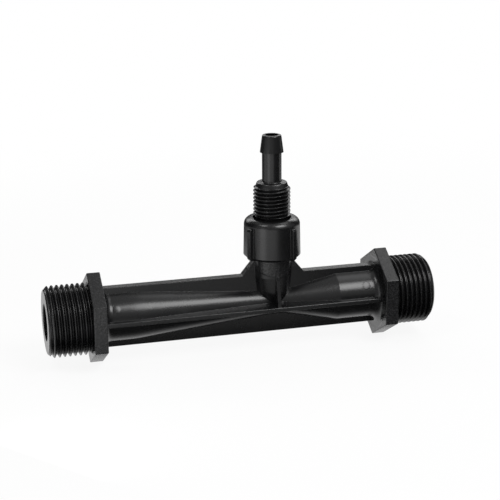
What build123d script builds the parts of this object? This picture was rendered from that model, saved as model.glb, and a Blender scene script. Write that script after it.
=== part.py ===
from build123d import *
import os

# Venturi fertilizer injector, in millimetres.
# X runs along the flow axis, with the inlet at +X and the outlet at -X. Z points up the suction port.
# The origin is on the flow axis, at the face of the inlet collar where the inlet thread starts.

# Length along the flow axis
overall_length = 140.0
port_to_inlet_end = 58.3
pipe_thread_length = 15.0
collar_thickness = 4.7

# Pipe threads and hexagonal collars at both ends
pipe_thread_diameter = 25.2
pipe_thread_end_chamfer = 1.5
collar_across_flats = 28.6
collar_edge_radius = 0.3

# Water passage: straight bores, a steep inlet cone, the throat and a long outlet cone
bore_radius = 6.2
bore_mouth_chamfer = 0.5
throat_radius = 2.0
throat_length = 3.0
inlet_straight_length = 15.3
outlet_straight_length = 11.4
tube_wall = 2.6
outlet_blend_radius = 60.0
collar_flare_radius = 2.8

# Ribs that cross along the body
web_half_height = 10.9
web_thickness = 3.3
side_rib_half_width = 10.7
side_rib_tip_thickness = 1.5
side_rib_root_thickness = 1.9
rib_edge_radius = 0.3

# Suction port: a neck that narrows down onto the throat, stiffened by four gussets
neck_relief = 0.52
neck_taper_below_web = 0.5
neck_foot_radius = 4.3
neck_waist_height = 4.4
neck_waist_radius = 6.15
neck_waist_blend = 6.0
side_gusset_reach = 4.35
side_gusset_height = 5.3
front_gusset_drop = 2.2
front_gusset_thickness = 1.25
neck_above_gussets = 2.4

# Union thread on top of the neck
union_thread_radius = 8.33
union_thread_pitch = 1.337
union_thread_length = 7.0
thread_depth_per_pitch = 0.64

# Check valve inside the port
chamber_depth = 13.6
suction_hole_radius = 1.5
ball_radius = 3.0
ball_side_clearance = 0.8
ball_seat_gap = 0.1
washer_hole_inset = 0.4
washer_thickness = 1.3
washer_edge_inset = 0.2
spring_wire_radius = 0.2
spring_end_swell = 1.1
spring_coil_inset = 0.65
spring_active_turns = 5
spring_end_gap = 0.05

# Suction nipple
flange_thickness = 1.8
flange_bearing_width = 0.47
hose_nut_thread_radius = 6.58
hose_nut_thread_pitch = 1.337
hose_nut_thread_length = 10.7
hose_nut_thread_gap = 0.3
nipple_shoulder_radius = 5.3
nipple_shoulder_height = 1.75
nipple_shoulder_rounding = 0.6
stem_radius = 3.43
stem_length = 10.65
stem_foot_fillet = 0.35
barb_root_radius = 4.15
barb_tip_radius = 3.36
barb_length = 6.1
barb_tip_rounding = 0.5
nipple_bore_radius = 2.17

# Union nut
nut_thread_clearance = 0.08
nut_seat_clearance = 0.08
nut_hole_clearance = 0.25
nut_wall = 1.8
nut_draft = 0.3
nut_top_thickness = 2.8
nut_shoulder_rounding = 2.5
nut_foot_land = 0.9
nut_skirt_below_thread = 1.3
grip_lug_count = 4
grip_lug_height = 1.3
grip_lug_width = 1.6
grip_lug_bottom_gap = 0.1
grip_lug_top_gap = 2.6
grip_lug_foot_rounding = 0.5
grip_lug_top_rounding = 1.0
grip_lug_start_angle = 29.0

# Places along the flow axis that follow from the sizes above
inlet_collar_outer = 0.0
inlet_collar_inner = inlet_collar_outer - collar_thickness
inlet_end = inlet_collar_outer + pipe_thread_length
outlet_end = inlet_end - overall_length
outlet_collar_outer = outlet_end + pipe_thread_length
outlet_collar_inner = outlet_collar_outer + collar_thickness
port_x = inlet_end - port_to_inlet_end
throat_outlet = port_x
throat_inlet = throat_outlet + throat_length
inlet_cone_mouth = inlet_collar_inner - inlet_straight_length
outlet_cone_mouth = outlet_collar_inner + outlet_straight_length
tube_radius = bore_radius + tube_wall
throat_outer_radius = throat_radius + tube_wall
port_axis = Pos(port_x, 0, 0)

# Heights and radii of the port
side_gusset_top = web_half_height + side_gusset_height
front_gusset_top = side_gusset_top - front_gusset_drop
neck_taper_top = web_half_height - neck_taper_below_web
neck_top = side_gusset_top + neck_above_gussets
union_thread_depth = thread_depth_per_pitch * union_thread_pitch
union_thread_root = union_thread_radius - union_thread_depth
neck_radius = union_thread_root - neck_relief
port_top = neck_top + union_thread_length
chamber_floor = port_top - chamber_depth
chamber_radius = ball_radius + ball_side_clearance

# Nut and nipple, stacked on the top of the port
nut_bore_radius = union_thread_radius + nut_thread_clearance
nut_radius = nut_bore_radius + nut_wall
nut_bottom_chamfer = nut_wall - nut_foot_land
nut_hole_radius = hose_nut_thread_radius + nut_hole_clearance
flange_bottom = port_top + washer_thickness
flange_top = flange_bottom + flange_thickness
flange_radius = nut_hole_radius + flange_bearing_width
nut_bottom = neck_top - nut_skirt_below_thread
nut_seat = flange_top + nut_seat_clearance
nut_top = nut_seat + nut_top_thickness
nut_top_land = nut_radius - nut_draft - nut_hole_radius
hose_nut_thread_depth = thread_depth_per_pitch * hose_nut_thread_pitch
hose_nut_thread_root = hose_nut_thread_radius - hose_nut_thread_depth
hose_nut_thread_bottom = nut_top + hose_nut_thread_gap
hose_nut_thread_top = hose_nut_thread_bottom + hose_nut_thread_length
nipple_shoulder_top = hose_nut_thread_top + nipple_shoulder_height
stem_top = nipple_shoulder_top + stem_length
barb_tip = stem_top + barb_length

# Ball and spring
washer_hole_radius = ball_radius - washer_hole_inset
spring_coil_radius = ball_radius - spring_coil_inset
ball_touch_drop = (ball_radius**2 - washer_hole_radius**2) ** 0.5
ball_centre = port_top - ball_touch_drop - ball_seat_gap
spring_end_wire_radius = spring_end_swell * spring_wire_radius
spring_low = chamber_floor + spring_end_gap + spring_end_wire_radius
spring_reach = ball_radius + spring_end_gap + spring_end_wire_radius
spring_high = ball_centre - (spring_reach**2 - spring_coil_radius**2) ** 0.5


def turned(stations, upright):
    """Turns a closed outline about the flow axis, or about the port's axis if it is upright.

    A station is (place along the axis, radius, corner radius).
    """
    corners = [corner for _, _, corner in stations]
    if upright:
        points = [(radius, along) for along, radius, _ in stations]
        outline = make_face(FilletPolyline(points, radius=corners, close=True))
        return port_axis * revolve(Plane.XZ * outline, Axis.Z, 360)
    points = [(along, radius) for along, radius, _ in stations]
    outline = make_face(FilletPolyline(points, radius=corners, close=True))
    return revolve(outline, Axis.X, 360)


def pipe_thread(end, direction):
    """The major diameter of one pipe thread, with the chamfer that starts it."""
    radius = pipe_thread_diameter / 2
    foot = end - direction * (pipe_thread_length + collar_thickness / 2)
    stations = [
        (foot, 0, 0),
        (foot, radius, 0),
        (end - direction * pipe_thread_end_chamfer, radius, 0),
        (end, radius - pipe_thread_end_chamfer, 0),
        (end, 0, 0),
    ]
    return turned(stations, upright=False)


def collar(inner_face):
    """A hexagonal collar for a spanner, with corners up and down."""
    hexagon = RegularPolygon(collar_across_flats / 2, 6, major_radius=False, rotation=30)
    prism = extrude(Plane.YZ.offset(inner_face) * hexagon, collar_thickness)
    return fillet(prism.edges(), collar_edge_radius)


def tube_outside():
    """The tube turned from its outline, thick at the mouths and slim at the throat."""
    stations = [
        (outlet_collar_outer, 0, 0),
        (outlet_collar_outer, tube_radius, 0),
        (outlet_cone_mouth, tube_radius, outlet_blend_radius),
        (throat_outlet, throat_outer_radius, 0),
        (throat_inlet, throat_outer_radius, 0),
        (inlet_cone_mouth, tube_radius, 0),
        (inlet_collar_outer, tube_radius, 0),
        (inlet_collar_outer, 0, 0),
    ]
    return turned(stations, upright=False)


def collar_flare(inner_face, direction):
    """The concave flare that joins the tube to the inner face of a collar."""
    away = inner_face + direction * collar_flare_radius
    wide = tube_radius + collar_flare_radius
    edges = [
        Line((inner_face, 0), (inner_face, wide)),
        RadiusArc((inner_face, wide), (away, tube_radius), -direction * collar_flare_radius),
        Line((away, tube_radius), (away, 0)),
        Line((away, 0), (inner_face, 0)),
    ]
    return revolve(make_face(edges), Axis.X, 360)


def cross_ribs():
    """The upright web and the tapered side ribs that run from collar to collar."""
    length = inlet_collar_inner - outlet_collar_inner
    start = Plane.YZ.offset(outlet_collar_inner)
    web_section = Rectangle(web_thickness, 2 * web_half_height)
    web_section = fillet(web_section.vertices(), rib_edge_radius)
    web = extrude(start * web_section, length)
    tip = side_rib_tip_thickness / 2
    root = side_rib_root_thickness / 2
    half = [
        (0, root),
        (-side_rib_half_width, tip),
        (-side_rib_half_width, -tip),
        (0, -root),
        (side_rib_half_width, -tip),
        (side_rib_half_width, tip),
    ]
    corners = [0, rib_edge_radius, rib_edge_radius, 0, rib_edge_radius, rib_edge_radius]
    rib_section = make_face(FilletPolyline(half, radius=corners, close=True))
    side_ribs = extrude(start * rib_section, length)
    return web + side_ribs


def port_outside():
    """The neck of the suction port, from the throat up to the union thread."""
    stations = [
        (0, 0, 0),
        (0, neck_foot_radius, 0),
        (neck_waist_height, neck_waist_radius, neck_waist_blend),
        (neck_taper_top, neck_radius, 0),
        (neck_top, neck_radius, 0),
        (neck_top + union_thread_depth, union_thread_radius, 0),
        (port_top - union_thread_depth, union_thread_radius, 0),
        (port_top, union_thread_root, 0),
        (port_top, 0, 0),
    ]
    return turned(stations, upright=True)


def gussets():
    """Four gussets that brace the neck: two on the web and two on the side ribs."""
    foot = neck_radius + side_gusset_reach
    side = [
        (0, 0),
        (foot, 0),
        (foot, web_half_height),
        (neck_radius, side_gusset_top),
        (0, side_gusset_top),
    ]
    face = Plane.XZ * make_face(Polyline(side, close=True))
    side_gusset = extrude(face, web_thickness / 2, both=True)
    edge = side_rib_half_width
    front = [(0, 0), (edge, 0), (neck_radius, front_gusset_top), (0, front_gusset_top)]
    face = Plane.YZ * make_face(Polyline(front, close=True))
    front_gusset = extrude(face, front_gusset_thickness / 2, both=True)
    four = side_gusset + mirror(side_gusset, Plane.YZ)
    four += front_gusset + mirror(front_gusset, Plane.XZ)
    return port_axis * four


def water_passage():
    """The bore from end to end, narrowing to the throat."""
    mouth = bore_radius + bore_mouth_chamfer
    stations = [
        (outlet_end, 0, 0),
        (outlet_end, mouth, 0),
        (outlet_end + bore_mouth_chamfer, bore_radius, 0),
        (outlet_cone_mouth, bore_radius, 0),
        (throat_outlet, throat_radius, 0),
        (throat_inlet, throat_radius, 0),
        (inlet_cone_mouth, bore_radius, 0),
        (inlet_end - bore_mouth_chamfer, bore_radius, 0),
        (inlet_end, mouth, 0),
        (inlet_end, 0, 0),
    ]
    return turned(stations, upright=False)


def suction_passage():
    """The valve chamber and the hole that drops from it into the throat."""
    stations = [
        (0, 0, 0),
        (0, suction_hole_radius, 0),
        (chamber_floor, suction_hole_radius, 0),
        (chamber_floor, chamber_radius, 0),
        (port_top, chamber_radius, 0),
        (port_top, 0, 0),
    ]
    return turned(stations, upright=True)


def injector_body():
    """The moulded body: threads, collars, tube, ribs and port in one piece."""
    solid = tube_outside() + cross_ribs()
    solid += port_outside()
    solid += collar(inlet_collar_inner)
    solid += collar(outlet_collar_outer)
    solid += collar_flare(inlet_collar_inner, -1)
    solid += collar_flare(outlet_collar_inner, 1)
    solid += pipe_thread(inlet_end, 1)
    solid += pipe_thread(outlet_end, -1)
    solid += gussets()
    return solid - water_passage() - suction_passage()


def hose_nipple():
    """The suction nipple: a flange under the nut, a thread, a stem and a hose barb."""
    thread_run_out = hose_nut_thread_depth / 2
    stations = [
        (flange_bottom, nipple_bore_radius, 0),
        (flange_bottom, flange_radius, 0),
        (flange_top, flange_radius, 0),
        (flange_top, hose_nut_thread_root, 0),
        (hose_nut_thread_bottom, hose_nut_thread_root, 0),
        (hose_nut_thread_bottom, hose_nut_thread_radius, 0),
        (hose_nut_thread_top, hose_nut_thread_radius, 0),
        (hose_nut_thread_top + thread_run_out, hose_nut_thread_root, 0),
        (nipple_shoulder_top, nipple_shoulder_radius, nipple_shoulder_rounding),
        (nipple_shoulder_top, stem_radius, stem_foot_fillet),
        (stem_top, stem_radius, 0),
        (stem_top, barb_root_radius, 0),
        (barb_tip, barb_tip_radius, barb_tip_rounding),
        (barb_tip, nipple_bore_radius, 0),
    ]
    return turned(stations, upright=True)


def grip_lug():
    """One grip lug of the nut, bevelled at its foot and rounded at its top."""
    inner = nut_bore_radius + nut_wall / 2
    outer = nut_radius + grip_lug_height
    bottom = nut_bottom + grip_lug_bottom_gap
    top = nut_top - grip_lug_top_gap
    points = [
        (inner, bottom),
        (outer - nut_bottom_chamfer, bottom),
        (outer, bottom + nut_bottom_chamfer),
        (outer, top),
        (inner, top),
    ]
    corners = [0, 0, grip_lug_foot_rounding, grip_lug_top_rounding, 0]
    outline = make_face(FilletPolyline(points, radius=corners, close=True))
    return extrude(Plane.XZ * outline, grip_lug_width / 2, both=True)


def union_nut():
    """The union nut that holds the nipple down, with lugs to turn it by hand."""
    shoulder = min(nut_shoulder_rounding, 0.95 * nut_top_land)
    stations = [
        (nut_bottom, nut_bore_radius, 0),
        (nut_bottom, nut_bore_radius + nut_foot_land, 0),
        (nut_bottom + nut_bottom_chamfer, nut_radius, 0),
        (nut_top, nut_radius - nut_draft, shoulder),
        (nut_top, nut_hole_radius, 0),
        (nut_seat, nut_hole_radius, 0),
        (nut_seat, nut_bore_radius, 0),
    ]
    solid = turned(stations, upright=True)
    for number in range(grip_lug_count):
        angle = grip_lug_start_angle + number * 360 / grip_lug_count
        solid += port_axis * Rot(0, 0, angle) * grip_lug()
    return solid


def seat_washer():
    """The flat rubber washer: it seals the flange and is the seat of the ball."""
    ring = Circle(union_thread_root - washer_edge_inset) - Circle(washer_hole_radius)
    return port_axis * extrude(Plane.XY.offset(port_top) * ring, washer_thickness)


def check_ball():
    """The ball that closes against the washer when water pushes back."""
    return port_axis * Pos(0, 0, ball_centre) * Sphere(ball_radius)


def check_spring():
    """The light spring under the ball, with one closed turn at each end."""
    length = spring_high - spring_low
    path = Helix(length / spring_active_turns, length, spring_coil_radius)
    start = Plane(origin=path @ 0, z_dir=path % 0)
    coil = sweep(start * RegularPolygon(spring_wire_radius, 8), path)
    end_section = Plane.XZ * Pos(spring_coil_radius, 0) * RegularPolygon(spring_end_wire_radius, 8)
    closed_turn = revolve(end_section, Axis.Z, 360)
    solid = coil + closed_turn + Pos(0, 0, length) * closed_turn
    return port_axis * Pos(0, 0, spring_low) * solid


parts = {
    "injector_body": injector_body,
    "union_nut": union_nut,
    "hose_nipple": hose_nipple,
    "seat_washer": seat_washer,
    "check_ball": check_ball,
    "check_spring": check_spring,
}

os.makedirs("parts", exist_ok=True)
for name, make in parts.items():
    export_step(make(), f"parts/{name}.step")
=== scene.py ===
import math
import bmesh
import bpy
from mathutils import Euler, Matrix, Vector


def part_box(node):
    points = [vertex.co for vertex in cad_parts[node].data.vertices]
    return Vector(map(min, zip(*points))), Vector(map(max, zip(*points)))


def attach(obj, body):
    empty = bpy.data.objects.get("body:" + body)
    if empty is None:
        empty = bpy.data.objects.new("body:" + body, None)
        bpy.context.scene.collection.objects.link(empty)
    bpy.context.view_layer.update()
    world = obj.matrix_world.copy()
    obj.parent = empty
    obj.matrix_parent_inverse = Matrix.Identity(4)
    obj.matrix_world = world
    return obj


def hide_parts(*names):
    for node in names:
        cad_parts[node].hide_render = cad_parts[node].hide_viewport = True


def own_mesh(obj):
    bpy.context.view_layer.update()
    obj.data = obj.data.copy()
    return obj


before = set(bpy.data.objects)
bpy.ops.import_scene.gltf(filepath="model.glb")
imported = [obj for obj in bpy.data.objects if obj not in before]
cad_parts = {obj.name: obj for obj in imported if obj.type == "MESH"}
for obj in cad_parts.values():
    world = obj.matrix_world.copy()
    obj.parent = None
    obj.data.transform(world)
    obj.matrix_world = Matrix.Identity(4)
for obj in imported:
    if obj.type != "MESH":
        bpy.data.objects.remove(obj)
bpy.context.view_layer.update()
mm = 0.001
near = 0.01 * mm  # places closer together than this count as one
print("stage 1: frame loaded, nodes", sorted(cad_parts))

# The flow axis is X, with the inlet at +X, and the suction port points up Z.
portX = sum(corner.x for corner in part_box("seat_washer")) / 2
bodyLow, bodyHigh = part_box("injector_body")


# Node trees, shared by the shaders and the Geometry Nodes

def openSocket(sockets, name):
    # a Mix node holds several sockets of one name, and only one of them is in use
    if isinstance(name, int):
        return sockets[name]
    return next(socket for socket in sockets if socket.name == name and socket.enabled)


class Wire:
    # a socket that can be used in plain Python sums
    def __init__(self, bench, socket):
        self.bench = bench
        self.socket = socket

    def out(self, name):
        return Wire(self.bench, openSocket(self.socket.node.outputs, name))

    def maths(self, operation, *values):
        return self.bench.add("ShaderNodeMath", {"operation": operation}, dict(enumerate(values)))

    def __add__(self, other):
        return self.maths("ADD", self, other)

    def __radd__(self, other):
        return self.maths("ADD", other, self)

    def __sub__(self, other):
        return self.maths("SUBTRACT", self, other)

    def __rsub__(self, other):
        return self.maths("SUBTRACT", other, self)

    def __mul__(self, other):
        return self.maths("MULTIPLY", self, other)

    def __rmul__(self, other):
        return self.maths("MULTIPLY", other, self)

    def __truediv__(self, other):
        return self.maths("DIVIDE", self, other)

    def __rtruediv__(self, other):
        return self.maths("DIVIDE", other, self)

    def __pow__(self, other):
        return self.maths("POWER", self, other)

    def __abs__(self):
        return self.alone("ABSOLUTE")

    def alone(self, operation):
        # for an operation on one value
        return self.maths(operation, self)

    def low(self, other):
        return self.maths("MINIMUM", self, other)

    def high(self, other):
        return self.maths("MAXIMUM", self, other)

    def softLow(self, other, distance):
        return self.maths("SMOOTH_MIN", self, other, distance)

    def softHigh(self, other, distance):
        return self.maths("SMOOTH_MAX", self, other, distance)

    def ramp(self, start, end):
        # 0 up to start, 1 from end on, smooth between them
        settings = {"interpolation_type": "SMOOTHSTEP"}
        inputs = {"Value": self, "From Min": start, "From Max": end}
        return self.bench.add("ShaderNodeMapRange", settings, inputs)

    def fall(self, start, end):
        # 1 up to start, 0 from end on
        return 1 - self.ramp(start, end)


class Bench:
    # adds the nodes of one tree
    def __init__(self, tree):
        self.tree = tree

    def add(self, kind, settings=None, inputs=None):
        node = self.tree.nodes.new(kind)
        for name, value in (settings or {}).items():
            setattr(node, name, value)
        for name, value in (inputs or {}).items():
            socket = openSocket(node.inputs, name)
            if isinstance(value, Wire):
                self.tree.links.new(value.socket, socket)
            else:
                socket.default_value = value
        used = [socket for socket in node.outputs if socket.enabled]
        return Wire(self, used[0] if used else None)

    def axes(self, place):
        split = self.add("ShaderNodeSeparateXYZ", None, {0: place})
        return split.out("X"), split.out("Y"), split.out("Z")

    def mix(self, factor, first, second):
        inputs = {"Factor": factor, "A": first, "B": second}
        return self.add("ShaderNodeMix", {"data_type": "RGBA"}, inputs)

    def noise(self, place, size, detail, roughness=0.5):
        inputs = {"Vector": place, "Scale": 1 / size, "Detail": detail, "Roughness": roughness}
        return self.add("ShaderNodeTexNoise", {"noise_dimensions": "3D"}, inputs)

    def bump(self, height, normal=None):
        # heights are in metres, so strength and distance stay at 1
        inputs = {"Strength": 1.0, "Distance": 1.0, "Height": height}
        if normal:
            inputs["Normal"] = normal
        return self.add("ShaderNodeBump", None, inputs)


def newTree(name, sizes, counts):
    # a Geometry Nodes tree with its named inputs: sizes, counts and the finish
    tree = bpy.data.node_groups.new(name, "GeometryNodeTree")
    tree.interface.new_socket("Geometry", in_out="OUTPUT", socket_type="NodeSocketGeometry")
    kinds = {"NodeSocketFloat": sizes, "NodeSocketInt": counts, "NodeSocketMaterial": ("finish",)}
    for kind, inputs in kinds.items():
        for inputName in inputs:
            tree.interface.new_socket(inputName, in_out="INPUT", socket_type=kind)
    bench = Bench(tree)
    return tree, bench, bench.add("NodeGroupInput")


def closeTree(bench, shape, finish):
    shape = bench.add("GeometryNodeSetShadeSmooth", None, {"Geometry": shape})
    shape = bench.add("GeometryNodeRealizeInstances", None, {"Geometry": shape})
    shape = bench.add("GeometryNodeSetMaterial", None, {"Geometry": shape, "Material": finish})
    bench.add("NodeGroupOutput", None, {"Geometry": shape})


def newObject(name, data):
    made = bpy.data.objects.new(name, data)
    bpy.context.scene.collection.objects.link(made)
    return made


def growMesh(tree, values, name):
    # runs a tree on an empty object and keeps the plain mesh
    holder = newObject(name, bpy.data.meshes.new(name))
    modifier = holder.modifiers.new(name, "NODES")
    modifier.node_group = tree
    for item in tree.interface.items_tree:
        if item.in_out == "INPUT" and item.name in values:
            modifier[item.identifier] = values[item.name]
    evaluated = holder.evaluated_get(bpy.context.evaluated_depsgraph_get())
    mesh = bpy.data.meshes.new_from_object(evaluated)
    holder.modifiers.clear()
    bpy.data.objects.remove(holder)
    return mesh


def storeShell(shell, mesh, sharpAbove):
    # faces point outwards, and an edge that turns by more than sharpAbove degrees is sharp
    bmesh.ops.recalc_face_normals(shell, faces=shell.faces)
    shell.to_mesh(mesh)
    shell.free()
    mesh.shade_smooth()
    mesh.set_sharp_from_angle(angle=math.radians(sharpAbove))


# Materials

bodyPlastic = {
    "dark": (0.0030, 0.0031, 0.0034, 1),
    "pale": (0.0085, 0.0086, 0.0092, 1),
    "gloss": 0.27,
    "glossSpread": 0.10,
    "index": 1.52,
    "edgeRadius": 0.24 * mm,
    "edgeSamples": 6,
    "edgeFound": (0.005, 0.25),  # how far the normal has turned where an edge begins, and where it is full
    "edgeWear": 0.12,
    "edgeCloud": (0.35, 0.6),  # edges wear only where the clouds are this strong
    # each noise has its size, and then its detail and roughness
    "grainSize": 0.16 * mm,
    "grainNoise": (3.0, 0.6),
    "grainDepth": 0.004 * mm,
    "waveSize": 5.0 * mm,
    "waveNoise": (2.0, 0.5),
    "waveDepth": 0.012 * mm,
    "cloudSize": 2.6,  # times the size of the waves
    "cloudNoise": (4.0, 0.62),
    "cloudPale": 0.7,
    "scuff": 0.5,
    "scratchSize": 0.5 * mm,
    "scratchNoise": (6.0, 0.7),
    "scratchScale": (0.18, 1.0, 1.0),
    "scratchTurn": (0.3, 0.2, 0.5),
    "scratchShown": (0.60, 0.72),
    "scratchCloud": (0.45, 0.65),
    "scratchPale": 0.35,
    "scratchRough": 0.16,
    "paintedShadeShare": 0.85,  # how far the painted shade in the bores and the thread grooves falls to matt black
    "paintedShadeBlack": (0.0016, 0.0016, 0.0018, 1),
}
nutPlastic = dict(bodyPlastic, gloss=0.26, edgeRadius=0.28 * mm, waveSize=3.0 * mm)
nipplePlastic = dict(bodyPlastic, gloss=0.28, edgeRadius=0.16 * mm, waveSize=3.0 * mm)
noiseMiddle = 0.5

# where painted shade darkens the body, with a start and an end for each soft limit
bodyPaintedShade = {
    "boreWall": (6.25 * mm, 6.55 * mm),
    "inletMouth": (-22 * mm, -14 * mm),
    "outletMouth": (80 * mm, 88 * mm),  # along -X
    "threadFoot": (55.0 * mm, 55.4 * mm),  # from the body's middle, as the next
    "threadEnd": (68.1 * mm, 68.5 * mm),
    "groove": (11.55 * mm, 12.15 * mm),
    "grooveShare": 0.5,
    # painted shade in the corner under each side rib
    "cornerLow": (-3.4 * mm, -1.2 * mm),
    "cornerHigh": (-0.8 * mm, -0.7 * mm),
    "cornerOut": (9.0 * mm, 9.3 * mm),
    "cornerEnd": (49.0 * mm, 50.0 * mm),
    "cornerShare": 0.75,
}
nipplePaintedShade = {
    "boreWall": (2.25 * mm, 2.5 * mm),
    "threadFoot": (32.2 * mm, 32.6 * mm),
    "threadEnd": (42.5 * mm, 42.9 * mm),
    "groove": (5.82 * mm, 6.30 * mm),
    "grooveShare": 0.78,
}
collars = {
    "fromAxis": (12.9 * mm, 13.4 * mm),
    "end": (55.1 * mm, 55.3 * mm),  # from the body's middle
    "mottleSize": 0.9 * mm,
    "mottleNoise": (2.0, 0.5),
    "mottleDepth": 0.14 * mm,
    "speckSize": 0.5 * mm,
    "speckNoise": (3.0, 0.6),
    "speckShown": (0.42, 0.66),
    "speckPale": (0.018, 0.018, 0.019, 1),
}


def newMaterial(name):
    material = bpy.data.materials.new(name)
    material.use_nodes = True
    material.node_tree.nodes.clear()
    return material, Bench(material.node_tree)


def bodyPlaces(bench, place):
    # the place along X, the height, and the distances from the body's axis and from its middle
    x, y, z = bench.axes(place)
    middle = (bodyLow.x + bodyHigh.x) / 2
    return x, z, (y * y + z * z) ** 0.5, abs(x - middle)


def paintBodyShade(bench, place):
    # painted shade in the bore near both mouths, in the grooves of both pipe threads, and in the corners
    # under the side ribs
    look = bodyPaintedShade
    x, z, radius, fromMiddle = bodyPlaces(bench, place)
    mouths = (0 - x).ramp(*look["outletMouth"]).high(x.ramp(*look["inletMouth"]))
    bore = radius.fall(*look["boreWall"]) * mouths
    threaded = fromMiddle.ramp(*look["threadFoot"]) * fromMiddle.fall(*look["threadEnd"])
    groove = radius.fall(*look["groove"]) * threaded
    corner = z.ramp(*look["cornerLow"]) * z.fall(*look["cornerHigh"])
    corner = corner * radius.fall(*look["cornerOut"]) * fromMiddle.fall(*look["cornerEnd"])
    return bore.high(groove * look["grooveShare"]).high(corner * look["cornerShare"])


def paintNippleShade(bench, place):
    # painted shade in the nipple's bore, and in the grooves of its thread
    look = nipplePaintedShade
    x, y, z = bench.axes(place)
    x = x - portX
    radius = (x * x + y * y) ** 0.5
    threaded = z.ramp(*look["threadFoot"]) * z.fall(*look["threadEnd"])
    groove = radius.fall(*look["groove"]) * threaded
    return radius.fall(*look["boreWall"]).high(groove * look["grooveShare"])


def mottleCollars(bench, place, colour, height):
    # the collars' faces are mottled in height, and finely specked with a paler grey
    look = collars
    radius, fromMiddle = bodyPlaces(bench, place)[2:]
    collar = radius.ramp(*look["fromAxis"]) * fromMiddle.fall(*look["end"])
    bumps = collar * bench.noise(place, look["mottleSize"], *look["mottleNoise"]) * look["mottleDepth"]
    specks = collar * bench.noise(place, look["speckSize"], *look["speckNoise"]).ramp(*look["speckShown"])
    return bench.mix(specks, colour, look["speckPale"]), height + bumps


def makeBlackPlastic(name, look, paintedShade=None, mottle=None):
    material, bench = newMaterial(name)
    place = bench.add("ShaderNodeTexCoord").out("Object")
    wave = bench.noise(place, look["waveSize"], *look["waveNoise"])
    cloud = bench.noise(place, look["waveSize"] * look["cloudSize"], *look["cloudNoise"])
    grain = bench.noise(place, look["grainSize"], *look["grainNoise"])

    # fine scratches lie along the part, as from handling in a bag
    stretch = bench.add("ShaderNodeMapping", None, {
        "Vector": place, "Scale": look["scratchScale"], "Rotation": look["scratchTurn"]})
    scratch = bench.noise(stretch, look["scratchSize"], *look["scratchNoise"])
    scratch = scratch.ramp(*look["scratchShown"]) * cloud.ramp(*look["scratchCloud"]) * look["scuff"]

    # where the rounded normal leaves the flat one there is an edge, and edges wear pale
    rounded = bench.add("ShaderNodeBevel", {"samples": look["edgeSamples"]}, {"Radius": look["edgeRadius"]})
    flat = bench.add("ShaderNodeNewGeometry").out("Normal")
    facing = bench.add("ShaderNodeVectorMath", {"operation": "DOT_PRODUCT"}, {0: rounded, 1: flat})
    edge = (1 - facing).ramp(*look["edgeFound"])
    wear = edge * look["edgeWear"] * cloud.ramp(*look["edgeCloud"]) + scratch * look["scratchPale"]
    paleness = cloud * look["cloudPale"] + wear.low(1.0)

    colour = bench.mix(paleness.low(1.0), look["dark"], look["pale"])
    gloss = look["gloss"] + (cloud - noiseMiddle) * look["glossSpread"] + scratch * look["scratchRough"]
    height = wave * look["waveDepth"] + grain * look["grainDepth"]
    if mottle:
        colour, height = mottle(bench, place, colour, height)
    shader = bench.add("ShaderNodeBsdfPrincipled", None, {
        "Base Color": colour, "Roughness": gloss, "IOR": look["index"],
        "Normal": bench.bump(height, rounded)})
    if paintedShade:
        # painted shade: a matt black sheet is mixed in where the part's shade map is strong
        matt = bench.add("ShaderNodeBsdfDiffuse", None, {"Color": look["paintedShadeBlack"]})
        depth = paintedShade(bench, place) * look["paintedShadeShare"]
        shader = bench.add("ShaderNodeMixShader", None, {0: depth, 1: shader, 2: matt})
    bench.add("ShaderNodeOutputMaterial", None, {"Surface": shader})
    return material


smallPart = {
    "metallic": 0.0,
    "glossSpread": 0.2,
    "speckDetail": 4.0,
    "speckShown": (0.35, 0.65),
    "broadSize": 5.0,  # times the size of the specks
    "broadDetail": 2.0,
}
rubber = dict(
    smallPart, dark=(0.012, 0.012, 0.012, 1), pale=(0.028, 0.027, 0.026, 1),
    gloss=0.6, speckSize=0.25 * mm, speckDepth=0.01 * mm)
acetal = dict(
    smallPart, dark=(0.70, 0.69, 0.65, 1), pale=(0.82, 0.81, 0.78, 1),
    gloss=0.3, speckSize=0.4 * mm, speckDepth=0.004 * mm)
steel = dict(
    smallPart, dark=(0.42, 0.42, 0.43, 1), pale=(0.62, 0.62, 0.63, 1),
    gloss=0.28, metallic=1.0, speckSize=0.12 * mm, speckDepth=0.003 * mm)


def makeSmallPart(name, look):
    material, bench = newMaterial(name)
    place = bench.add("ShaderNodeTexCoord").out("Object")
    speck = bench.noise(place, look["speckSize"], look["speckDetail"])
    broad = bench.noise(place, look["speckSize"] * look["broadSize"], look["broadDetail"])
    colour = bench.mix(speck.ramp(*look["speckShown"]), look["dark"], look["pale"])
    gloss = look["gloss"] + (broad - noiseMiddle) * look["glossSpread"]
    shader = bench.add("ShaderNodeBsdfPrincipled", None, {
        "Base Color": colour, "Roughness": gloss, "Metallic": look["metallic"],
        "Normal": bench.bump(speck * look["speckDepth"])})
    bench.add("ShaderNodeOutputMaterial", None, {"Surface": shader})
    return material


finishes = {
    "injector_body": makeBlackPlastic("blackBodyPlastic", bodyPlastic, paintBodyShade, mottleCollars),
    "union_nut": makeBlackPlastic("blackNutPlastic", nutPlastic),
    "hose_nipple": makeBlackPlastic("blackNipplePlastic", nipplePlastic, paintNippleShade),
    "seat_washer": makeSmallPart("washerRubber", rubber),
    "check_ball": makeSmallPart("ballPlastic", acetal),
    "check_spring": makeSmallPart("springWire", steel),
}
print("stage 2: materials made")


# Screw threads: one skin from its foot to its end, made by Geometry Nodes along +Z

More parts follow.
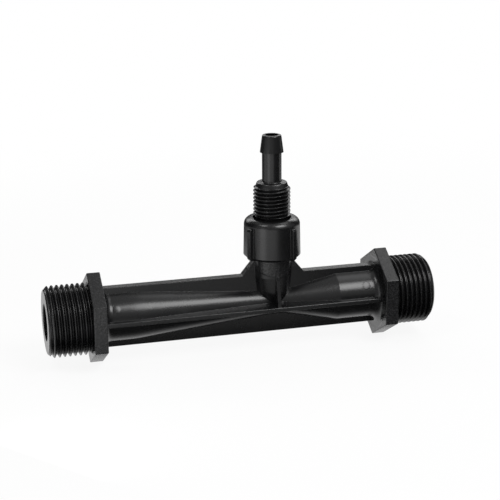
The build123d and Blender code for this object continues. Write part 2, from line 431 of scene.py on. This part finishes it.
pipeThread = {
    "radius": 12.6 * mm,
    "pitch": 1.814 * mm,
    "depth": 1.16 * mm,
    "length": 15.0 * mm,
    "footCone": 2.4,  # rise of the run-out at the foot for each step along
    "endDrop": 1.5 * mm,  # how far the chamfer drops the radius at the end
    "endCone": 1.0,
    "around": 144,
    "perTurn": 14,
    "bore": 6.8 * mm,  # the CAD's faces nearer to the axis than this stay
}
unionThread = {
    "radius": 8.33 * mm,
    "pitch": 1.337 * mm,
    "depth": 0.856 * mm,
    "length": 7.0 * mm,
    "footCone": 1.0,
    "endDrop": 0.8557 * mm,
    "endCone": 1.0,
    "around": 112,
    "perTurn": 14,
    "bore": 4.0 * mm,
}
hoseNutThread = {
    "radius": 6.58 * mm,
    "pitch": 1.337 * mm,
    "depth": 0.856 * mm,
    "length": 11.0 * mm,
    "footCone": 1.6,
    "endDrop": 0.85 * mm,
    "endCone": 1.6,
    "around": 112,
    "perTurn": 14,
    "bore": 3.0 * mm,
    "foot": 31.88 * mm,  # heights above the body's axis
    "cutFrom": 28.7 * mm,  # the top of the nipple's flange
    "cutTo": 43.008 * mm,  # where the CAD's plain thread has run out
}
threadProfile = {
    "rise": 1.5,  # more than 1 leaves a flat at the crest and at the root
    "drop": 0.25,  # half of what the rise has above 1, so that both flats are alike
    "rounding": 0.14,
    "weldWithin": 0.002 * mm,
}
seam = {
    "weldWithin": 0.0005 * mm,
    "sharpAbove": 42,  # the rims turn 45 degrees, and the thread's crests stay smooth
}


def makeThreadTree(look):
    sizes = ("radius", "pitch", "depth", "length", "footCone", "endDrop", "endCone")
    tree, bench, size = newTree("screwThread", sizes, ("around", "perTurn"))
    radius, pitch, depth = size.out("radius"), size.out("pitch"), size.out("depth")
    length, perTurn = size.out("length"), size.out("perTurn")

    # the grid has one row for each sample of the profile, and one turn more than the length needs
    rows = perTurn * ((length / pitch).alone("CEIL") + 1)
    gridHalf = 0.5
    grid = bench.add("GeometryNodeMeshGrid", None, {
        "Size X": 2 * gridHalf, "Size Y": 2 * gridHalf,
        "Vertices X": size.out("around") + 1, "Vertices Y": rows + 1})
    across, away = bench.axes(bench.add("GeometryNodeInputPosition"))[:2]
    turn = across + gridHalf
    row = ((away + gridHalf) * rows).alone("ROUND")

    # each row climbs one pitch in a turn, and is cut off at the foot and at the end
    along = ((row / perTurn + turn - 1) * pitch).high(0.0).low(length)
    phase = (along / pitch - turn).alone("FRACT")
    flank = 1 - abs(2 * phase - 1)
    profile = (flank * look["rise"] - look["drop"]).softHigh(0.0, look["rounding"])
    profile = profile.softLow(1.0, look["rounding"])
    skin = radius - depth + depth * profile
    skin = skin.low(radius - depth + along * size.out("footCone"))
    skin = skin.low(radius - size.out("endDrop") + (length - along) * size.out("endCone"))
    angle = turn * math.tau
    spot = bench.add("ShaderNodeCombineXYZ", None, {
        "X": skin * angle.alone("COSINE"), "Y": skin * angle.alone("SINE"), "Z": along})

    shape = bench.add("GeometryNodeSetPosition", None, {"Geometry": grid, "Position": spot})
    shape = bench.add("GeometryNodeMergeByDistance", None, {
        "Geometry": shape, "Distance": look["weldWithin"]})
    closeTree(bench, shape, size.out("finish"))
    return tree


def mergedCopy(node):
    # the CAD node's triangles, joined into one skin, with the CAD's own normals kept at each corner
    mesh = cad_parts[node].data.copy()
    normals = [0.0] * (3 * len(mesh.loops))
    mesh.corner_normals.foreach_get("vector", normals)
    mesh.attributes.new("cadNormal", "FLOAT_VECTOR", "CORNER").data.foreach_set("vector", normals)
    # left in, the old custom normals would keep the thread's rims from being marked sharp
    mesh.attributes.remove(mesh.attributes["custom_normal"])
    shell = bmesh.new()
    shell.from_mesh(mesh)
    bmesh.ops.remove_doubles(shell, verts=shell.verts, dist=seam["weldWithin"])
    return shell


def cutThread(shell, place, low, high, values, tree, finish):
    # takes the plain skin between two places along the thread's axis off the shell and sews the thread in
    toThread = place.inverted()

    def polar(point):
        local = toThread @ point
        return local.z, math.hypot(local.x, local.y)

    skin = []
    for face in shell.faces:
        along, radius = polar(face.calc_center_median())
        if low + near < along < high + near and radius > values["bore"]:
            skin.append(face)
    bmesh.ops.delete(shell, geom=skin, context="FACES")
    thread = growMesh(tree, dict(values, finish=finish), "thread")
    thread.transform(place)
    shell.from_mesh(thread)
    bpy.data.meshes.remove(thread)

    foot, end = [], []
    for edge in [edge for edge in shell.edges if edge.is_boundary]:
        along = polar((edge.verts[0].co + edge.verts[1].co) / 2)[0]
        (foot if along < values["length"] / 2 else end).append(edge)
    cadNormal = shell.loops.layers.float_vector["cadNormal"]
    for ring in (foot, end):
        # a bridge's faces copy their neighbours' normals, and need their own
        for face in bmesh.ops.bridge_loops(shell, edges=ring)["faces"]:
            for corner in face.loops:
                corner[cadNormal] = (0, 0, 0)


def finishedPiece(shell, name, body, node, finish):
    mesh = bpy.data.meshes.new(name)
    storeShell(shell, mesh, seam["sharpAbove"])
    kept = [0.0] * (3 * len(mesh.loops))
    mesh.attributes["cadNormal"].data.foreach_get("vector", kept)
    mesh.normals_split_custom_set([kept[i:i + 3] for i in range(0, len(kept), 3)])
    mesh.attributes.remove(mesh.attributes["cadNormal"])
    mesh.materials.clear()
    mesh.materials.append(finish)
    piece = newObject(name, mesh)
    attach(piece, body)
    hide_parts(node)
    return piece


threadTree = makeThreadTree(threadProfile)
pipeLength, unionLength = pipeThread["length"], unionThread["length"]
quarterTurn = math.radians(90)
inletFoot = Matrix.Translation((bodyHigh.x - pipeLength, 0, 0)) @ Matrix.Rotation(quarterTurn, 4, "Y")
outletFoot = Matrix.Translation((bodyLow.x + pipeLength, 0, 0)) @ Matrix.Rotation(-quarterTurn, 4, "Y")
unionFoot = Matrix.Translation((portX, 0, bodyHigh.z - unionLength))

plastic = finishes["injector_body"]
shell = mergedCopy("injector_body")
cutThread(shell, inletFoot, 0, pipeLength, pipeThread, threadTree, plastic)
cutThread(shell, outletFoot, 0, pipeLength, pipeThread, threadTree, plastic)
cutThread(shell, unionFoot, 0, unionLength, unionThread, threadTree, plastic)
bodyPiece = finishedPiece(shell, "venturiBody", "housing", "injector_body", plastic)

plastic = finishes["hose_nipple"]
shell = mergedCopy("hose_nipple")
foot, cutFrom, cutTo = (hoseNutThread[key] for key in ("foot", "cutFrom", "cutTo"))
hoseFoot = Matrix.Translation((portX, 0, foot))
cutThread(shell, hoseFoot, cutFrom - foot, cutTo - foot, hoseNutThread, threadTree, plastic)
nipplePiece = finishedPiece(shell, "suctionNipple", "nipple", "hose_nipple", plastic)


# The check spring: one round wire

checkSpring = {
    "wire": 0.2 * mm,
    "endWire": 0.22 * mm,  # the CAD's end turns are a little thicker
    "turns": 7.0,
    "closedRise": 0.42 * mm,  # an end turn climbs a little more than one wire, so it lies closed
    "perTurn": 40,
    "around": 12,
    "sharpAbove": 50,
    "ballTravel": 2.0 * mm,
}


def makeSpringTree():
    sizes = ("radius", "wire", "low", "high", "turns", "closedRise")
    tree, bench, size = newTree("coilSpring", sizes, ("perTurn", "around"))
    turns, closedRise = size.out("turns"), size.out("closedRise")
    low, high = size.out("low"), size.out("high")

    # one closed turn, the open turns, and one more closed turn
    line = bench.add("GeometryNodeCurvePrimitiveLine")
    path = bench.add("GeometryNodeResampleCurve", {"mode": "COUNT"}, {
        "Curve": line, "Count": turns * size.out("perTurn") + 1})
    turn = bench.add("GeometryNodeInputIndex") / size.out("perTurn")
    closedTurns = 2
    openTurns = turns - closedTurns
    openRise = (high - low - closedTurns * closedRise) / openTurns
    closed = turn.low(1.0) + (turn - 1 - openTurns).high(0.0)
    along = low + closed * closedRise + (turn - 1).high(0.0).low(openTurns) * openRise
    angle = turn * math.tau
    spot = bench.add("ShaderNodeCombineXYZ", None, {
        "X": size.out("radius") * angle.alone("COSINE"),
        "Y": size.out("radius") * angle.alone("SINE"), "Z": along})
    path = bench.add("GeometryNodeSetPosition", None, {"Geometry": path, "Position": spot})
    ring = bench.add("GeometryNodeCurvePrimitiveCircle", {"mode": "RADIUS"}, {
        "Resolution": size.out("around"), "Radius": size.out("wire")})
    shape = bench.add("GeometryNodeCurveToMesh", None, {
        "Curve": path, "Profile Curve": ring, "Fill Caps": True})
    closeTree(bench, shape, size.out("finish"))
    return tree


def makeSpring(look):
    low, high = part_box("check_spring")
    values = dict(look, radius=(high.x - low.x) / 2 - look["endWire"], low=low.z + look["wire"],
                  high=high.z - look["wire"], finish=finishes["check_spring"])
    mesh = growMesh(makeSpringTree(), values, "checkSpring")
    mesh.transform(Matrix.Translation((portX, 0, 0)))
    shell = bmesh.new()
    shell.from_mesh(mesh)
    storeShell(shell, mesh, look["sharpAbove"])
    piece = newObject("checkSpring", mesh)
    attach(piece, "housing")
    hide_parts("check_spring")
    ballTravel = look["ballTravel"]
    topTurn = values["high"] - low.z
    1 - ballTravel / topTurn
    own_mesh(piece)


makeSpring(checkSpring)

# each end of the tube has a round flat in front, left by an ejector pin
ejectorMarks = {
    "radius": 1.5 * mm,
    "rim": 0.12 * mm,
    "rimSteps": 3,
    "rimProfile": 0.5,  # round
    "around": 48,
    "sunk": 0.5 * mm,
    "fromAxis": 8.83 * mm,
    "sharpAbove": 40,
    "places": ((-101.0 * mm, 33.0), (-9.9 * mm, 34.5)),  # along the tube, and degrees up from the front
}


def makeEjectorMarks(look):
    shell = bmesh.new()
    for along, upward in look["places"]:
        onAxis = Vector((along, 0, 0))
        facing = Matrix.Rotation(math.radians(90 - upward), 4, "X")
        outward = facing @ Vector((0, 0, 1))
        toMiddle = Matrix.Translation((0, 0, look["fromAxis"] - look["sunk"] / 2))
        disc = bmesh.ops.create_cone(
            shell, cap_ends=True, segments=look["around"], radius1=look["radius"], radius2=look["radius"],
            depth=look["sunk"], matrix=Matrix.Translation(onAxis) @ facing @ toMiddle)["verts"]
        top = {vert for vert in disc if (vert.co - onAxis).dot(outward) > look["fromAxis"] - near}
        rim = [edge for edge in shell.edges if top.issuperset(edge.verts)]
        bmesh.ops.bevel(
            shell, geom=rim, offset=look["rim"], segments=look["rimSteps"], profile=look["rimProfile"],
            affect="EDGES")
    mesh = bpy.data.meshes.new("ejectorMarks")
    storeShell(shell, mesh, look["sharpAbove"])
    mesh.materials.append(finishes["injector_body"])
    piece = newObject("ejectorMarks", mesh)
    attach(piece, "housing")


makeEjectorMarks(ejectorMarks)

for node in ("union_nut", "seat_washer", "check_ball"):
    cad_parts[node].data.materials[0] = finishes[node]
print("stage 3: pieces made", len(bodyPiece.data.polygons), len(nipplePiece.data.polygons))


# Floor, world, lamps and camera

def mirrorRays(rays):
    return rays.out("Is Glossy Ray").high(rays.out("Is Transmission Ray"))


# what the plastic mirrors of the floor is a painted glow, with painted shadow close by and painted light
# under it:
# far in front, at its left, at its right, close by, under and behind, and where each begins and is full, in
# metres
floorLook = {
    "colour": (0.9, 0.9, 0.9, 1),
    "size": 6.0,
    "shadowSeen": 0.10,  # how much of the lit floor, and so of the shadow, the camera sees near the object
    "shadowFrom": (0.62, 0.82),  # counted inwards from a ring of 1 m
    "frontGlow": 0.44,
    "leftGlow": 1.0,
    "leftSlant": 0.6,
    "leftFrom": (0.115, 0.16),
    "rightGlow": 0.05,
    "rightFrom": (-0.05, 0.04),
    "paintedShadowGlow": 0.05,
    "stripFrom": (-0.031, -0.019),
    "stripReach": 0.16,
    "stripEnd": (0.0, 0.03),
    "underGlow": 1.0,
    "underFrom": (-0.011, 0.001),
    "backGlow": 0.10,
    "backFrom": (0.07, 0.16),
}


def makeFloor(look):
    material, bench = newMaterial("paleFloor")
    rays = bench.add("ShaderNodeLightPath")
    seen, glossy = rays.out("Is Camera Ray"), mirrorRays(rays)
    across, away = bench.axes(bench.add("ShaderNodeTexCoord").out("Object"))[:2]

    def blend(start, end, share):
        return start + share * (end - start)

    left = (0 - across - away * look["leftSlant"]).ramp(*look["leftFrom"])
    # the strip close in front is painted shadow in what the plastic mirrors
    paintedShadowStrip = away.ramp(*look["stripFrom"]) * (look["stripReach"] + across).ramp(*look["stripEnd"])
    shine = blend(look["frontGlow"], look["leftGlow"], left)
    shine = blend(shine, look["rightGlow"], across.ramp(*look["rightFrom"]))
    shine = blend(shine, look["paintedShadowGlow"], paintedShadowStrip)
    # the floor under the object glows fully in what the plastic mirrors, painted light where its shadow
    # falls
    shine = blend(shine, look["underGlow"], away.ramp(*look["underFrom"]))
    shine = blend(shine, look["backGlow"], away.ramp(*look["backFrom"]))
    nearby = 1 - (across * across + away * away) ** 0.5
    white = seen * (1 - look["shadowSeen"] * nearby.ramp(*look["shadowFrom"])) + glossy
    matt = bench.add("ShaderNodeBsdfDiffuse", None, {"Color": look["colour"]})
    glow = bench.add("ShaderNodeEmission", None, {"Color": (1, 1, 1, 1), "Strength": seen + glossy * shine})
    shader = bench.add("ShaderNodeMixShader", None, {0: white, 1: matt, 2: glow})
    bench.add("ShaderNodeOutputMaterial", None, {"Surface": shader})
    half = look["size"] / 2
    corners = [(x * half, y * half, bodyLow.z) for x, y in ((-1, -1), (1, -1), (1, 1), (-1, 1))]
    mesh = bpy.data.meshes.new("floor")
    mesh.from_pydata(corners, [], [(0, 1, 2, 3)])
    mesh.materials.append(material)
    floor = newObject("floor", mesh)


makeFloor(floorLook)

# the camera sees white all round, while the plastic mirrors a dim room with a pale front wall and ceiling
worldLook = {
    "ambient": 0.30,
    "low": 0.03,
    "front": 0.42,
    "frontFrom": (-0.3, 0.3),  # towards the camera
    "frontRise": (0.02, 0.22),
    "ceiling": 0.48,
    "ceilingRise": (0.6, 0.9),
}


def makeWorld(look):
    world = bpy.data.worlds.new("studio")
    bpy.context.scene.world = world
    world.use_nodes = True
    world.node_tree.nodes.clear()
    bench = Bench(world.node_tree)
    rays = bench.add("ShaderNodeLightPath")
    seen, glossy = rays.out("Is Camera Ray"), mirrorRays(rays)
    away, up = bench.axes(bench.add("ShaderNodeTexCoord").out("Generated"))[1:]
    front = (0 - away).ramp(*look["frontFrom"]) * up.ramp(*look["frontRise"])
    wall = look["low"] + front * (look["front"] - look["low"])
    ceiling = up.ramp(*look["ceilingRise"])
    shine = wall * (1 - ceiling) + ceiling * look["ceiling"]
    strength = seen + (1 - seen) * (glossy * shine + (1 - glossy) * look["ambient"])
    backdrop = bench.add("ShaderNodeBackground", None, {"Color": (1, 1, 1, 1), "Strength": strength})
    bench.add("ShaderNodeOutputWorld", None, {"Surface": backdrop})


makeWorld(worldLook)

lamps = {
    "keyPanel": {"at": (0.17, -0.345, 0.47), "size": (0.34, 0.26), "power": 2.05},
    "sidePanel": {"at": (-0.34, -0.145, 0.52), "size": (0.16, 0.16), "power": 0.5},
    "topPanel": {"at": (0.22, 0.11, 0.60), "size": (0.34, 0.22), "power": 0.28},
    "backPanel": {"at": (0.08, 0.62, 0.41), "size": (1.1, 0.22), "power": 2.1},
    "backRightPanel": {"at": (0.39, 0.62, 0.215), "size": (0.54, 0.12), "power": 0.19},
    "backLeftPanel": {"at": (-0.27, 0.62, 0.24), "size": (0.34, 0.14), "power": 0.15},
    "lowCard": {"at": (-0.131, -0.070, 0.020), "size": (0.048, 0.072), "power": 0.0105},
}
target = Vector((portX, 0, 0))
for name, lamp in lamps.items():
    light = bpy.data.lights.new(name, "AREA")
    light.shape = "RECTANGLE"
    light.size, light.size_y = lamp["size"]
    light.energy = lamp["power"]
    holder = newObject(name, light)
    holder.location = lamp["at"]
    holder.visible_camera = False
    holder.rotation_euler = (target - holder.location).to_track_quat("-Z", "Y").to_euler()

cameraLook = {
    "at": (-0.16887, -0.43796, 0.1566),
    "turn": (1.27787, 0.00708, -0.26417),
    "lens": 95.982,
    "sensor": 36,
    "nearest": 0.01,
}
cameraData = bpy.data.cameras.new("camera")
cameraData.lens = cameraLook["lens"]
cameraData.sensor_width = cameraLook["sensor"]
cameraData.clip_start = cameraLook["nearest"]
camera = newObject("camera", cameraData)
camera.location = cameraLook["at"]
camera.rotation_euler = Euler(cameraLook["turn"])
bpy.context.scene.camera = camera
bpy.context.scene.view_settings.view_transform = "Standard"
print("stage 4: studio set")
